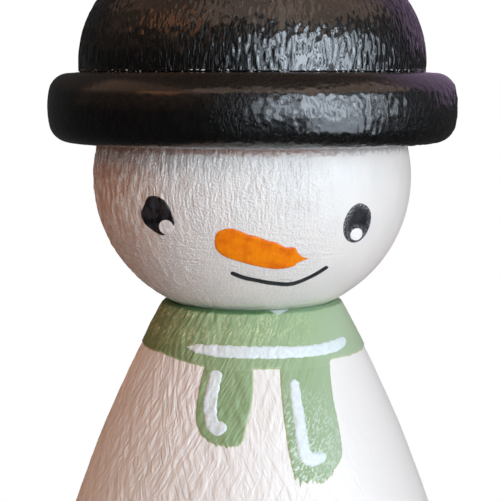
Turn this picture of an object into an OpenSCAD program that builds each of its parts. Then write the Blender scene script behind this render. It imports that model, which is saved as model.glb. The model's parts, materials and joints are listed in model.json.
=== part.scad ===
// Painted wooden peg doll in the shape of a snowman with a round hat.
// Turned wooden pieces stand on one upright axis, foot on z = 0, face towards -Y.
// Each painted mark is a thin film that lies on the wood, or on the film, that carries it.

/* [Body] */
// Height of the body from the foot to the neck
body_h = 46; // [40:1:56]
// Width of the body across the foot, before its edge is rounded
base_d = 45.8; // [42:0.2:52]
// Width of the body at the neck
neck_d = 16.6; // [15:0.2:18]
// Radius of the swelling side, seen in profile
side_r = 122.5; // [90:0.5:180]
// Rounding of the edge at the foot
foot_round = 1.2; // [0.6:0.1:2]
// Width of the flat shoulder round the seat of the head
seat_land = 0.25; // [0.1:0.05:0.5]

/* [Head] */
// Width of the ball that makes the head
head_d = 30; // [28:0.5:32]
// How much lower than wide the ball is
head_flat = 2.8; // [2:0.1:4]

/* [Hat] */
// How far the brim stands out past the widest line of the head
brim_reach = 4.2; // [3:0.1:7]
// Ledge that the brim leaves round the crown
brim_ledge = 2.95; // [2:0.05:4]
// Thickness of the brim
brim_t = 6.5; // [5:0.1:8]
// How far the rim swells between its two edges
rim_bulge = 0.65; // [0.3:0.05:1]
// Rounding of the brim's upper and lower edge
brim_round = 2; // [1:0.1:2.4]
// Height of the brim's underside above the widest line of the head
brim_level = 3.3; // [2:0.1:5]
// Height of the crown above the brim
crown_h = 13; // [11:0.5:16]
// Height of the upright foot below the crown's dome
crown_skirt = 0.9; // [0.7:0.1:2]
// Rounding of the crown's edge where it meets the brim
crown_round = 0.5; // [0.2:0.1:0.7]
// Gap between the head and the hollow of the hat
hat_gap = 0.3; // [0.2:0.05:0.6]

/* [Dowels] */
// Width of the glued dowel in the neck
dowel_d = 6; // [4:0.5:8]
// Length of the neck dowel
dowel_l = 16; // [10:1:20]
// Room for glue all round the neck dowel
dowel_gap = 0.1; // [0.05:0.05:0.2]
// Width of the peg that the hat turns on
peg_d = 6; // [4:0.5:8]
// Depth of the peg in the head
peg_in_head = 8; // [5:0.5:10]
// Depth of the peg in the crown
peg_in_hat = 4.5; // [3:0.5:6]
// Running clearance all round the peg
peg_gap = 0.08; // [0.04:0.02:0.1]
// Bevel at both ends of a dowel
dowel_bevel = 0.6; // [0.3:0.1:1]
// Spare depth past the end of a dowel
bore_spare = 0.5; // [0.3:0.1:1]

/* [Paint] */
// Thickness of one film of paint
paint_t = 0.2; // [0.1:0.05:0.3]
// Width of the scarf round the neck
band_w = 4.75; // [3.5:0.25:6]
// Length of the short end of the scarf
short_tail_l = 6.5; // [4:0.5:9]
// Width of the short end of the scarf
short_tail_w = 5.1; // [4:0.1:6]
// Middle of the short end, left or right of the centre line
short_tail_x = -2.45; // [-4:0.05:-2]
// Length of the long end of the scarf
long_tail_l = 9.8; // [7:0.1:14]
// Width of the long end of the scarf
long_tail_w = 5.5; // [4:0.1:7]
// Middle of the long end, left or right of the centre line
long_tail_x = 5.2; // [4:0.05:7]
// Width of the pale brush strokes on the scarf
stroke_w = 0.95; // [0.6:0.05:1.2]
// Length of the pale stroke along the scarf
band_stroke_l = 14.6; // [10:0.2:18]
// Middle of that stroke, left or right of the centre line
band_stroke_x = 1.1; // [0:0.1:2]
// Depth of that stroke below the neck
band_stroke_z = 3.55; // [2.5:0.05:4]

/* [Face] */
// Length of the carrot nose
nose_l = 8; // [5:0.1:10]
// Height of the carrot nose
nose_h = 3.8; // [2.5:0.1:4.5]
// Turn of the nose from straight ahead, in degrees
nose_turn = 3.1; // [0:0.1:8]
// Dip of the nose below the widest line of the head, in degrees
nose_dip = 23.4; // [21:0.1:26]
// Length of the smile from end to end
smile_l = 8.2; // [6:0.1:9]
// Drop of the smile from its higher end to its lowest point
smile_h = 1.5; // [0.8:0.1:2]
// Turn of the smile from straight ahead, in degrees
smile_turn = 9.2; // [4:0.1:12]
// Dip of the smile below the widest line of the head, in degrees
smile_dip = 38.1; // [36:0.1:41]
// Width of the pen line of the smile
smile_w = 0.32; // [0.2:0.02:0.6]
// Height of an eye
eye_h = 3.5; // [2.5:0.1:4]
// Width of an eye, seen from the front
eye_w = 2.6; // [2:0.1:3]
// Turn of the left eye from straight ahead, in degrees
left_eye_turn = 33.4; // [30:0.1:38]
// Dip of the left eye below the widest line of the head, in degrees
left_eye_dip = 10.8; // [8:0.1:17]
// Turn of the right eye from straight ahead, in degrees
right_eye_turn = 37.6; // [30:0.1:39]
// Dip of the right eye below the widest line of the head, in degrees
right_eye_dip = 14.5; // [8:0.1:17]
// Lean of an eye from upright, in degrees
eye_lean = 17; // [0:1:25]
// Width of the white glint in an eye
glint_d = 1.3; // [0.8:0.1:1.5]

/* [Hidden] */
$fn = 96;

// Overrun of every cut past the face that it opens
overrun = 1;
// Steps between two chosen points of a smooth outline, and round the end of a stroke
smooth_steps = 4;
tip_steps = 8;
// Steps of the large circle that gives the body's side
side_steps = 720;

// Half sizes that the profiles are drawn with
neck_r = neck_d / 2;
base_r = base_d / 2;
head_r = head_d / 2;
head_up = (head_d - head_flat) / 2;
brim_r = head_r + brim_reach;
crown_r = brim_r - brim_ledge;
dome_h = crown_h - crown_skirt;

// Radius of an oval's side arc as a share of its half height: head, dome and eye
head_flank_share = 0.95;
dome_flank_share = 0.84;
eye_flank_share = 0.8;

// Radius of the arc over an oval's top, tangent to its side arcs
function cap_radius(half_w, half_h, share) = let (flank = half_h * share)
    ((half_w - flank) ^ 2 + half_h ^ 2 - flank ^ 2) / (2 * (half_h - flank));

// Half width at which the top arc of an oval meets its side arcs
function cap_reach(half_w, half_h, share, grow = 0) =
    let (flank = half_h * share, out = half_w - flank,
         down = cap_radius(half_w, half_h, share) - half_h)
    out + (flank + grow) * out / norm([out, down]);

// Heights of the pieces that stand on each other
head_cap_r = cap_radius(head_r, head_up, head_flank_share);
seat_r = neck_r - seat_land;
seat_rise = sqrt(head_cap_r ^ 2 - seat_r ^ 2) - (head_cap_r - head_up);
head_z = body_h + seat_rise;
head_foot_z = head_z - head_up;
head_top_z = head_z + head_up;
brim_z = head_z + brim_level;
crown_z = brim_z + brim_t;
scarf_foot_z = body_h - band_w;

// Place on the front view of the head, from its turn and dip
function on_head(turn, dip) = [head_r * sin(turn), head_z - head_up * sin(dip)];

// Centre of the arc that makes the body's side, through the neck and the foot
side_chord = [neck_r - base_r, body_h];
side_out = [side_chord.y, -side_chord.x] / norm(side_chord);
side_mid = [(neck_r + base_r) / 2, body_h / 2];
side_c = side_mid - side_out * sqrt(side_r ^ 2 - (norm(side_chord) / 2) ^ 2);

// Arc that makes the rim of the brim
rim_r = ((brim_t / 2) ^ 2 + rim_bulge ^ 2) / (2 * rim_bulge);
rim_c = [brim_r - rim_r, brim_t / 2];

// Outline of the nose from its root, as shares of its length and height
nose_shares = [[-0.5, 0.08], [-0.49, 0.3], [-0.42, 0.46], [-0.32, 0.5], [-0.14, 0.36],
               [0.06, 0.22], [0.25, 0.06], [0.36, 0.03], [0.43, -0.18], [0.5, -0.25],
               [0.36, -0.4], [0.17, -0.5], [0.04, -0.42], [-0.21, -0.3], [-0.42, -0.14]];

// Scarf ends from their upper left corner, as shares of their width and length
short_tail_shares = [[-0.36, 0], [-0.44, -0.25], [-0.5, -0.62], [-0.45, -0.82], [-0.3, -0.95],
                     [0, -1], [0.22, -0.97], [0.34, -0.87], [0.42, -0.6], [0.49, -0.3], [0.5, 0]];
long_tail_shares = [[-0.5, 0], [-0.46, -0.38], [-0.38, -0.7], [-0.28, -0.93], [-0.05, -0.96],
                    [0.2, -1], [0.38, -0.9], [0.5, -0.73], [0.43, -0.42], [0.32, 0]];

// Middle lines of brush strokes: shares of length and height, then of the width
smile_shares = [[-0.5, 0.28, 0.8], [-0.26, -0.16, 1], [0.05, -0.5, 1], [0.23, -0.31, 1],
                [0.4, 0.14, 1], [0.5, 0.5, 0.8]];
band_stroke_shares = [[-0.5, 0.12, 0.15], [-0.36, 0.08, 0.5], [-0.22, 0.04, 0.9], [0, 0, 1],
                      [0.25, -0.06, 1], [0.42, -0.04, 1], [0.48, 0, 0.9]];
short_stroke_shares = [[-0.13, -0.09, 0.85], [-0.22, -0.27, 1], [-0.26, -0.44, 1],
                       [-0.24, -0.6, 1], [-0.17, -0.73, 1], [-0.06, -0.75, 0.9]];
long_stroke_shares = [[-0.24, -0.12, 0.8], [-0.2, -0.3, 1], [-0.17, -0.5, 0.95],
                      [-0.13, -0.69, 1], [-0.05, -0.785, 1], [0.16, -0.78, 0.8]];

// Place of the glint in each eye, as shares of the eye's width and height
left_glint_shares = [0.27, -0.3];
right_glint_shares = [-0.01, -0.29];

// Point of a smooth curve between b and c, a share t of the way
function curve_point(a, b, c, d, t) =
    ((2 * b) + (c - a) * t + (2 * a - 5 * b + 4 * c - d) * t ^ 2
     + (3 * b - a - 3 * c + d) * t ^ 3) / 2;

// Smooth closed outline, and smooth open line, through chosen points
function smooth_loop(p) = let (n = len(p))
    [for (i = [0 : n - 1], k = [0 : smooth_steps - 1])
        curve_point(p[(i + n - 1) % n], p[i], p[(i + 1) % n], p[(i + 2) % n], k / smooth_steps)];
function smooth_line(p) = let (n = len(p))
    concat([for (i = [0 : n - 2], k = [0 : smooth_steps - 1])
        curve_point(p[max(i - 1, 0)], p[i], p[i + 1], p[min(i + 2, n - 1)], k / smooth_steps)],
        [p[n - 1]]);

// Two sides of a line whose points hold a place and a share of the width
function along(p, i) = let (d = p[min(i + 1, len(p) - 1)] - p[max(i - 1, 0)])
    [-d.y, d.x] / norm([d.x, d.y]);
function ribbon_side(p, w, side) = [for (i = [0 : len(p) - 1])
    [p[i].x, p[i].y] + along(p, i) * side * w * p[i].z / 2];
function reversed(p) = [for (i = [len(p) - 1 : -1 : 0]) p[i]];

// Round end of a line at point i, turning clockwise from its left side to its right
function round_tip(p, i, w, side) = let (left = along(p, i) * side, ahead = [left.y, -left.x])
    [for (k = [1 : tip_steps - 1]) let (turn = 180 * k / tip_steps)
        [p[i].x, p[i].y] + (left * cos(turn) + ahead * sin(turn)) * w * p[i].z / 2];

// Shares turned into places, with any third value kept
function sized(shares, size) = [for (s = shares)
    len(s) == 3 ? [s.x * size.x, s.y * size.y, s.z] : [s.x * size.x, s.y * size.y]];

// Oval of four arcs round the origin, grown outwards all round
module oval(half_w, half_h, share, grow = 0) {
    cap = cap_radius(half_w, half_h, share);
    intersection() {
        translate([0, half_h - cap]) circle(r = cap + grow);
        translate([0, cap - half_h]) circle(r = cap + grow);
        square([2 * cap_reach(half_w, half_h, share, grow), 2 * (half_h + grow)], center = true);
    }
    for (side = [-1, 1])
        translate([side * (half_w - half_h * share), 0]) circle(r = half_h * share + grow);
}

// Rounds the corner of a profile with an arc that is tangent along two unit directions
module round_corner(centre, r, dir_a, dir_b) {
    reach = r + overrun;
    difference() {
        children();
        polygon([centre, centre + dir_a * reach, centre + (dir_a + dir_b) * reach,
                 centre + dir_b * reach]);
    }
    translate(centre) circle(r = r);
}

// Solid turned from the part of a profile right of the axis
module turned(low, high, reach) {
    rotate_extrude() intersection() {
        children();
        translate([0, low]) square([reach, high - low]);
    }
}

// Profile of the body, and of a film that covers its side
module body_profile() {
    foot_c = [side_c.x + sqrt((side_r - foot_round) ^ 2 - (foot_round - side_c.y) ^ 2), foot_round];
    round_corner(foot_c, foot_round, [0, -1], (foot_c - side_c) / (side_r - foot_round))
        intersection() {
            translate(side_c) circle(r = side_r, $fn = side_steps);
            square([base_r, body_h]);
        }
}
module body_film(inner, outer, low = 0) {
    turned(low, body_h, base_r + outer) translate(side_c) difference() {
        circle(r = side_r + outer, $fn = side_steps);
        circle(r = side_r + inner, $fn = side_steps);
    }
}

// Ball of the head, grown by a film or a gap, and a film on it
module head_ball(grow = 0) {
    translate([0, 0, head_z]) turned(-head_up - grow, head_up + grow, head_r + grow)
        oval(head_r, head_up, head_flank_share, grow);
}
module head_film(inner, outer) {
    translate([0, 0, head_z]) turned(-head_up - outer, head_up + outer, head_r + outer)
        difference() {
            oval(head_r, head_up, head_flank_share, outer);
            oval(head_r, head_up, head_flank_share, inner);
        }
}

// Front view outline pushed from the axis out through the face of the doll
module front_cut() {
    rotate([90, 0, 0]) linear_extrude(height = base_r + overrun) children();
}

// Round pin with bevelled ends, standing on z = 0
module pin(d, l) {
    r = d / 2;
    rotate_extrude() polygon([[0, 0], [r - dowel_bevel, 0], [r, dowel_bevel],
        [r, l - dowel_bevel], [r - dowel_bevel, l], [0, l]]);
}

// Outline of a brush stroke with round ends
module stroke_outline(shares, size, w) {
    path = smooth_line(sized(shares, size));
    polygon(concat(ribbon_side(path, w, 1), round_tip(path, len(path) - 1, w, 1),
                   reversed(ribbon_side(path, w, -1)), round_tip(path, 0, w, -1)));
}

// Eye: an oval that leans outwards, and the round glint low in it
module eye_outline(side) {
    rotate(-side * eye_lean) rotate(90)
        oval(eye_h / 2, eye_w / 2, eye_flank_share);
}
module left_eye_place() translate(on_head(-left_eye_turn, left_eye_dip)) children();
module right_eye_place() translate(on_head(right_eye_turn, right_eye_dip)) children();
module glint_outline(shares) {
    translate([shares.x * eye_w, shares.y * eye_h]) circle(d = glint_d);
}

// Body: swelling cone with a dished seat and a blind bore for the dowel
module body() {
    color("antiquewhite") difference() {
        turned(0, body_h, base_r) body_profile();
        head_ball();
        translate([0, 0, head_foot_z - dowel_l / 2 - bore_spare])
            cylinder(r = dowel_d / 2 + dowel_gap, h = dowel_l / 2 + bore_spare + head_up);
    }
}

// Dowel glued half in the body and half in the head
module neck_dowel() {
    color("burlywood") translate([0, 0, head_foot_z - dowel_l / 2]) pin(dowel_d, dowel_l);
}

// Head: flattened ball with a blind bore below and another above
module head() {
    color("gainsboro") difference() {
        head_ball();
        translate([0, 0, head_foot_z - overrun])
            cylinder(r = dowel_d / 2 + dowel_gap, h = overrun + dowel_l / 2 + bore_spare);
        translate([0, 0, head_top_z - peg_in_head - bore_spare])
            cylinder(r = peg_d / 2 + peg_gap, h = peg_in_head + bore_spare + overrun);
    }
}

// Peg that stands in the head and carries the hat
module hat_peg() {
    color("burlywood") translate([0, 0, head_top_z - peg_in_head])
        pin(peg_d, peg_in_head + hat_gap + peg_in_hat);
}

// Brim: thick ring with a swelling rim, hollowed to sit over the head
module hat_brim() {
    edge_up = brim_t / 2 - brim_round;
    edge_x = rim_c.x + sqrt((rim_r - brim_round) ^ 2 - edge_up ^ 2);
    tilt = [edge_x - rim_c.x, edge_up] / (rim_r - brim_round);
    color("dimgray") difference() {
        translate([0, 0, brim_z]) turned(0, brim_t, brim_r)
            round_corner([edge_x, brim_t - brim_round], brim_round, [0, 1], tilt)
            round_corner([edge_x, brim_round], brim_round, [0, -1], [tilt.x, -tilt.y])
            union() {
                translate(rim_c) circle(r = rim_r);
                square([max(rim_c.x, edge_x), brim_t]);
            }
        head_ball(hat_gap);
    }
}

// Crown: dome on a short upright foot, dished and bored for the peg
module hat_crown() {
    color("black") difference() {
        translate([0, 0, crown_z]) turned(0, crown_h, crown_r)
            round_corner([crown_r - crown_round, crown_round], crown_round, [0, -1], [1, 0])
            union() {
                translate([0, crown_skirt]) oval(crown_r, dome_h, dome_flank_share);
                square([crown_r, crown_skirt]);
            }
        head_ball(hat_gap);
        translate([0, 0, head_top_z - overrun])
            cylinder(r = peg_d / 2 + peg_gap, h = overrun + hat_gap + peg_in_hat + bore_spare);
    }
}

// Scarf: green band round the neck and its two painted ends
module scarf_band() {
    color("darkseagreen") body_film(0, paint_t, scarf_foot_z);
}
module scarf_tail(x, w, l, shares) {
    color("darkseagreen") intersection() {
        body_film(0, paint_t);
        front_cut() translate([x, scarf_foot_z]) polygon(smooth_line(sized(shares, [w, l])));
    }
}
module scarf_tail_short() scarf_tail(short_tail_x, short_tail_w, short_tail_l, short_tail_shares);
module scarf_tail_long() scarf_tail(long_tail_x, long_tail_w, long_tail_l, long_tail_shares);

// Pale strokes that lie on the scarf
module scarf_stroke(x, z, size, shares) {
    color("azure") intersection() {
        body_film(paint_t, 2 * paint_t);
        front_cut() translate([x, z]) stroke_outline(shares, size, stroke_w);
    }
}
module scarf_band_stroke()
    scarf_stroke(band_stroke_x, body_h - band_stroke_z, [band_stroke_l, stroke_w],
                 band_stroke_shares);
module short_tail_stroke()
    scarf_stroke(short_tail_x, scarf_foot_z, [short_tail_w, short_tail_l], short_stroke_shares);
module long_tail_stroke()
    scarf_stroke(long_tail_x, scarf_foot_z, [long_tail_w, long_tail_l], long_stroke_shares);

// Face: marks on the front of the head
module face_mark() {
    intersection() {
        head_film(0, paint_t);
        front_cut() children();
    }
}
module left_eye() {
    color("black") face_mark() left_eye_place() difference() {
        eye_outline(-1);
        glint_outline(left_glint_shares);
    }
}
module right_eye() {
    color("black") face_mark() right_eye_place() difference() {
        eye_outline(1);
        glint_outline(right_glint_shares);
    }
}
module left_eye_glint() {
    color("white") face_mark() left_eye_place() glint_outline(left_glint_shares);
}
module right_eye_glint() {
    color("white") face_mark() right_eye_place() glint_outline(right_glint_shares);
}
module nose() {
    color("darkorange") face_mark() translate(on_head(nose_turn, nose_dip))
        polygon(smooth_loop(sized(nose_shares, [nose_l, nose_h])));
}
module smile() {
    color("darkslategray") face_mark() translate(on_head(smile_turn, smile_dip))
        stroke_outline(smile_shares, [smile_l, smile_h], smile_w);
}

body();
neck_dowel();
head();
hat_peg();
hat_brim();
hat_crown();
scarf_band();
scarf_tail_short();
scarf_tail_long();
scarf_band_stroke();
short_tail_stroke();
long_tail_stroke();
left_eye();
right_eye();
left_eye_glint();
right_eye_glint();
nose();
smile();
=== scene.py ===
import json
from math import acos, asin, atan2, copysign, cos, degrees, hypot, pi, radians, sin, sqrt, tan, tau

import bmesh
import bpy
import numpy as np
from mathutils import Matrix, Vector, noise
from mathutils.bvhtree import BVHTree

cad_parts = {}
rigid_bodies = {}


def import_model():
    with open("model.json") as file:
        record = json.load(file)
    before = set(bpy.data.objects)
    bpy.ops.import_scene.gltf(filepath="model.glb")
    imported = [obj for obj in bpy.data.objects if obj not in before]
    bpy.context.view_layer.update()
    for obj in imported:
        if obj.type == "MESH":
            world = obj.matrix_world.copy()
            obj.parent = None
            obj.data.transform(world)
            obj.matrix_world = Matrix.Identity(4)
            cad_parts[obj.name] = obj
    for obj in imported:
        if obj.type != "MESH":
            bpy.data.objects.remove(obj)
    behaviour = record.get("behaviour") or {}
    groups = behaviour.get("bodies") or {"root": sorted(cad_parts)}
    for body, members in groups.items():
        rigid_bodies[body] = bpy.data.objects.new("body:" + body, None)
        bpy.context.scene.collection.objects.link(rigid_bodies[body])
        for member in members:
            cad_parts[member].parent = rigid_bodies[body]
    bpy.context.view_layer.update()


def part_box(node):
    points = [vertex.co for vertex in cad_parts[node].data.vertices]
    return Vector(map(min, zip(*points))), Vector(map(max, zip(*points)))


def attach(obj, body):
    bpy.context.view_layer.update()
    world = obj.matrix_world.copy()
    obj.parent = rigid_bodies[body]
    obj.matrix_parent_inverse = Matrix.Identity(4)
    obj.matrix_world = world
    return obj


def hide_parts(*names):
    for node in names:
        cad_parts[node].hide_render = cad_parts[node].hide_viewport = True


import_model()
print("frame loaded")

mm = 0.001

# Heights that the pieces share, in millimetres: z = 0 is the floor, the face looks along -Y
brimLevel = 3.3                                     # brim's underside above the widest line of the head
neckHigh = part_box("body")[1].z / mm
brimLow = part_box("hat_brim")[0].z / mm
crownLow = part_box("hat_crown")[0].z / mm
headMid = brimLow - brimLevel                       # widest line of the head
neckTop = neckHigh - 0.2                            # the paint rounds off the neck's edge


def ovalArcs(halfWide, halfHigh, flankShare):
    # an oval of four arcs: the side arcs' radius and centre, the end arcs' radius and how far they turn
    flank = halfHigh * flankShare
    out = halfWide - flank
    cap = (out ** 2 + halfHigh ** 2 - flank ** 2) / (2 * (halfHigh - flank))
    return {"flank": flank, "out": out, "cap": cap, "drop": cap - halfHigh,
            "capTurn": degrees(atan2(out, cap - halfHigh))}


ringCuts = 8                                        # finer rings made from each coarse one
weld = 0.0002 * mm                                  # points nearer than this become one
onAxis = 0.0005 * mm
sameRing = 1e-9


def turnPiece(start, moves, around, relief, **marks):
    # a profile right of the axis in millimetres, spun once round Z and then roughened by its relief
    # a move is (x, z, step) for a line or (x, z, turn, step) for an arc about x, z through turn degrees
    mesh = bmesh.new()
    tip = mesh.verts.new((start[0] * mm, 0, start[1] * mm))
    for move in moves:
        if len(move) == 3:
            begin, end = tip.co.copy(), Vector((move[0] * mm, 0, move[1] * mm))
            count = max(1, round((end - begin).length / (move[2] * mm)))
            for i in range(count):
                tip = bmesh.ops.extrude_vert_indiv(mesh, verts=[tip])["verts"][0]
                tip.co = begin.lerp(end, (i + 1) / count)
        else:
            centre, turn = Vector((move[0] * mm, 0, move[1] * mm)), radians(move[2])
            arc = abs(turn) * (tip.co - centre).length
            spun = bmesh.ops.spin(mesh, geom=[tip], cent=centre, axis=(0, -1, 0), angle=turn,
                                  steps=max(1, round(arc / (move[3] * mm))), use_duplicate=False)
            tip = [v for v in spun["geom_last"] if isinstance(v, bmesh.types.BMVert)][0]
    bmesh.ops.remove_doubles(mesh, verts=mesh.verts, dist=weld)
    reach = mesh.verts.layers.float.new("reach")
    for v in mesh.verts:                            # points on the axis stay exactly on it
        v.co.x = 0 if v.co.x < onAxis else v.co.x
        v[reach] = v.co.x
    # a coarse spin, whose rings are then cut finer and rounded again
    bmesh.ops.spin(mesh, geom=mesh.verts[:] + mesh.edges[:], cent=(0, 0, 0), axis=(0, 0, 1),
                   angle=tau, steps=around // ringCuts, use_merge=True, use_duplicate=False)
    bmesh.ops.remove_doubles(mesh, verts=mesh.verts, dist=weld)
    rings = [e for e in mesh.edges if abs(e.verts[0].co.z - e.verts[1].co.z) < sameRing
             and abs(e.verts[0][reach] - e.verts[1][reach]) < sameRing]
    bmesh.ops.subdivide_edges(mesh, edges=rings, cuts=ringCuts - 1)
    for v in mesh.verts:
        if v[reach] > 0:
            v.co.xy = v.co.xy.normalized() * v[reach]
    bmesh.ops.recalc_face_normals(mesh, faces=mesh.faces)
    roughen(mesh, relief, **marks)
    return mesh


def softStep(value, low, high):
    t = min(1.0, max(0.0, (value - low) / (high - low)))
    return t * t * (3 - 2 * t)


def azimuthOf(place):
    # degrees round from the front, positive to the viewer's right
    return degrees(atan2(place.x, -place.y))


# How deep the brush marks are, by degrees round from the front: deepest on the left, and only a tenth of that
# on the smooth side, where the brush was fuller
brushLook = {"deep": 1.3, "fade": 0.4, "fadeAt": (-35, 0), "smooth": 0.9, "smoothAt": (15, 45),
             "backAt": (110, 150)}


def brushShare(place):
    look, azimuth = brushLook, azimuthOf(place)
    front = 1 - softStep(azimuth, *look["backAt"])
    fade = look["fade"] * softStep(azimuth, *look["fadeAt"]) * front
    return (look["deep"] - fade) * (1 - look["smooth"] * softStep(azimuth, *look["smoothAt"]) * front)


def roughen(mesh, relief, span=0.1, share=brushShare):
    # pushes each point in along its normal by relief(place in mm, normal), and marks the turned corners sharp
    # ridge keeps how high a point stands, 0 in the hollows and 1 on the threads, span millimetres apart,
    # and brushed keeps how much of the fine brush marks share(place) gives it
    ridge = mesh.verts.layers.float.new("ridge")
    brushed = mesh.verts.layers.float.new("brushed")
    mesh.normal_update()
    corner = radians(40)
    for e in mesh.edges:
        e.smooth = e.calc_face_angle(0) < corner
    for f in mesh.faces:
        f.smooth = True
    normals = [v.normal.copy() for v in mesh.verts]
    for v, normal in zip(mesh.verts, normals):
        depth, middle = relief(v.co / mm, normal)
        v[ridge] = 0.5 + (depth - middle) / span
        v[brushed] = share(v.co)
        v.co += normal * (min(0.0, depth) * mm)
    mesh.normal_update()


def grain(place, wide, long, lean=0.0, seed=0.0, radius=0.0):
    # noise drawn out along the axis; lean is how far it winds round the piece, in radians per millimetre
    # with a radius it follows the surface, as brush marks do, and without one it runs straight, as grain does
    turn = lean * place.z
    c, s = cos(turn), sin(turn)
    size = radius / hypot(place.x, place.y) / wide if radius else 1 / wide
    return noise.noise(Vector(((place.x * c - place.y * s) * size + seed,
                               (place.x * s + place.y * c) * size - seed, place.z / long)))


def intoScene(name, data):
    thing = bpy.data.objects.new(name, data)
    bpy.context.scene.collection.objects.link(thing)
    return thing


def meshObject(name, mesh, material):
    data = bpy.data.meshes.new(name)
    mesh.to_mesh(data)
    mesh.free()
    data.materials.append(material)
    return intoScene(name, data)


def addObject(name, mesh, body, nodes, material):
    piece = meshObject(name, mesh, material)
    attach(piece, body)
    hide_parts(*nodes)


def hexColour(code):
    # sRGB hex to the linear colour that the shaders take
    parts = [int(code[i:i + 2], 16) / 255 for i in (1, 3, 5)]
    return tuple(p / 12.92 if p <= 0.04045 else ((p + 0.055) / 1.055) ** 2.4 for p in parts) + (1.0,)


def addNode(tree, kind, values=(), **settings):
    # one node with its settings; its values are in a dictionary by socket, or else in the sockets' order, and
    # each is a number, an sRGB hex or another node's output
    node = tree.nodes.new(kind)
    for key, setting in settings.items():
        setattr(node, key, setting)
    for socket, value in values.items() if isinstance(values, dict) else enumerate(values):
        if isinstance(value, bpy.types.NodeSocket):
            tree.links.new(value, node.inputs[socket])
        else:
            node.inputs[socket].default_value = hexColour(value) if isinstance(value, str) else value
    return node


def newMaterial(name):
    # a material, its empty tree and, as the first nodes' output, the piece's own place in millimetres
    material = bpy.data.materials.new(name)
    material.use_nodes = True
    tree = material.node_tree
    tree.nodes.clear()
    coords = addNode(tree, "ShaderNodeTexCoord").outputs["Object"]
    place = addNode(tree, "ShaderNodeVectorMath", {0: coords, "Scale": 1 / mm}, operation="SCALE").outputs[0]
    return material, tree, place


def roundPlace(tree, place, radius, lean=0.0):
    # the place drawn in to one radius and wound round the axis, lean radians per millimetre, for brush marks
    flat = addNode(tree, "ShaderNodeVectorMath", (place, (1, 1, 0)), operation="MULTIPLY").outputs[0]
    flat = addNode(tree, "ShaderNodeVectorMath", (flat,), operation="NORMALIZE").outputs[0]
    up = addNode(tree, "ShaderNodeSeparateXYZ", (place,)).outputs["Z"]
    high = addNode(tree, "ShaderNodeCombineXYZ", {"Z": up}).outputs[0]
    drawn = addNode(tree, "ShaderNodeVectorMath", (flat, (radius, radius, radius), high),
                    operation="MULTIPLY_ADD").outputs[0]
    turn = addNode(tree, "ShaderNodeMath", (up, lean), operation="MULTIPLY").outputs[0]
    return addNode(tree, "ShaderNodeVectorRotate", {"Vector": drawn, "Angle": turn},
                   rotation_type="Z_AXIS").outputs[0]


def pattern(tree, place, wide, long, share=1.0, low=0.35, high=0.65, detail=2.0):
    # noise with spots wide x long millimetres, long along the axis, spread from 0 to share
    drawn = addNode(tree, "ShaderNodeMapping", {"Vector": place, "Scale": (1 / wide, 1 / wide, 1 / long)})
    spots = addNode(tree, "ShaderNodeTexNoise", {"Vector": drawn.outputs[0], "Scale": 1.0, "Detail": detail})
    return addNode(tree, "ShaderNodeMapRange", (spots.outputs[0], low, high, 0.0, share),
                   interpolation_type="SMOOTHSTEP").outputs[0]


def finishMaterial(tree, colour, roughness, height, deep, strength=1.0, **values):
    # the shader with its bump; deep is the bump's full height in millimetres
    bump = addNode(tree, "ShaderNodeBump", {"Height": height, "Distance": deep * mm, "Strength": strength})
    shader = addNode(tree, "ShaderNodeBsdfPrincipled", {"Base Color": colour, "Roughness": roughness,
                                                        "Normal": bump.outputs[0]})
    for socket, value in values.items():
        shader.inputs[socket.replace("_", " ")].default_value = value
    out = addNode(tree, "ShaderNodeOutputMaterial")
    tree.links.new(shader.outputs[0], out.inputs["Surface"])


# In the dictionaries of the finishes, several numbers together are either a pattern, with its width, length,
# share, low, high and detail, or a ramp, with its low, high, first and last.

# Bare beech, turned and left unfinished: pale pink tan with short darker flecks along the grain, matt.
# Growth rings run round a heart beside the piece: arcs on top of a ball, upright bands on its sides.
beech = {"pale": "#DCC09C", "dark": "#CDA983", "heart": (-26.0, -17.0, 0.0), "ringWide": 1.7, "wander": 4.5,
         "fleck": "#9C7049", "flecks": (0.26, 1.6, 0.6, 0.56, 0.66), "pores": (0.3, 2.5), "roughness": 0.72,
         "deep": 0.03}


def beechColour(tree, place):
    # the wave texture repeats every pi / 10 of its own lengths
    fromHeart = addNode(tree, "ShaderNodeVectorMath", (place, beech["heart"]),
                        operation="SUBTRACT").outputs[0]
    scale = pi / 10 / beech["ringWide"]
    rings = addNode(tree, "ShaderNodeTexWave", {"Vector": fromHeart, "Scale": scale, "Detail": 1.0,
                                                "Distortion": beech["wander"]},
                    wave_type="RINGS", rings_direction="Z").outputs["Fac"]
    wood = addNode(tree, "ShaderNodeMix", {0: rings, 6: beech["pale"], 7: beech["dark"]},
                   data_type="RGBA").outputs[2]
    flecks = pattern(tree, place, *beech["flecks"])
    return addNode(tree, "ShaderNodeMix", {0: flecks, 6: wood, 7: beech["fleck"]},
                   data_type="RGBA").outputs[2]


def makeBeech():
    material, tree, place = newMaterial("bare turned beech")
    finishMaterial(tree, beechColour(tree, place), beech["roughness"], pattern(tree, place, *beech["pores"]),
                   beech["deep"])
    return material


# Green in the crease at the neck, partly pooled paint and partly painted shade, paler on the right as painted
# light, and at one place a drop of white ran down over it.
# Both the white and the green paint have it, because it runs over from one to the other.
creaseLook = {"colour": "#557F52", "paler": "#86A582", "palerAt": (1.0, 4.5), "drop": "#D3DCDC", "dropX": 2.4,
              "dropSlope": 0.35, "dropAt": (-0.26, -0.16)}


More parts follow.
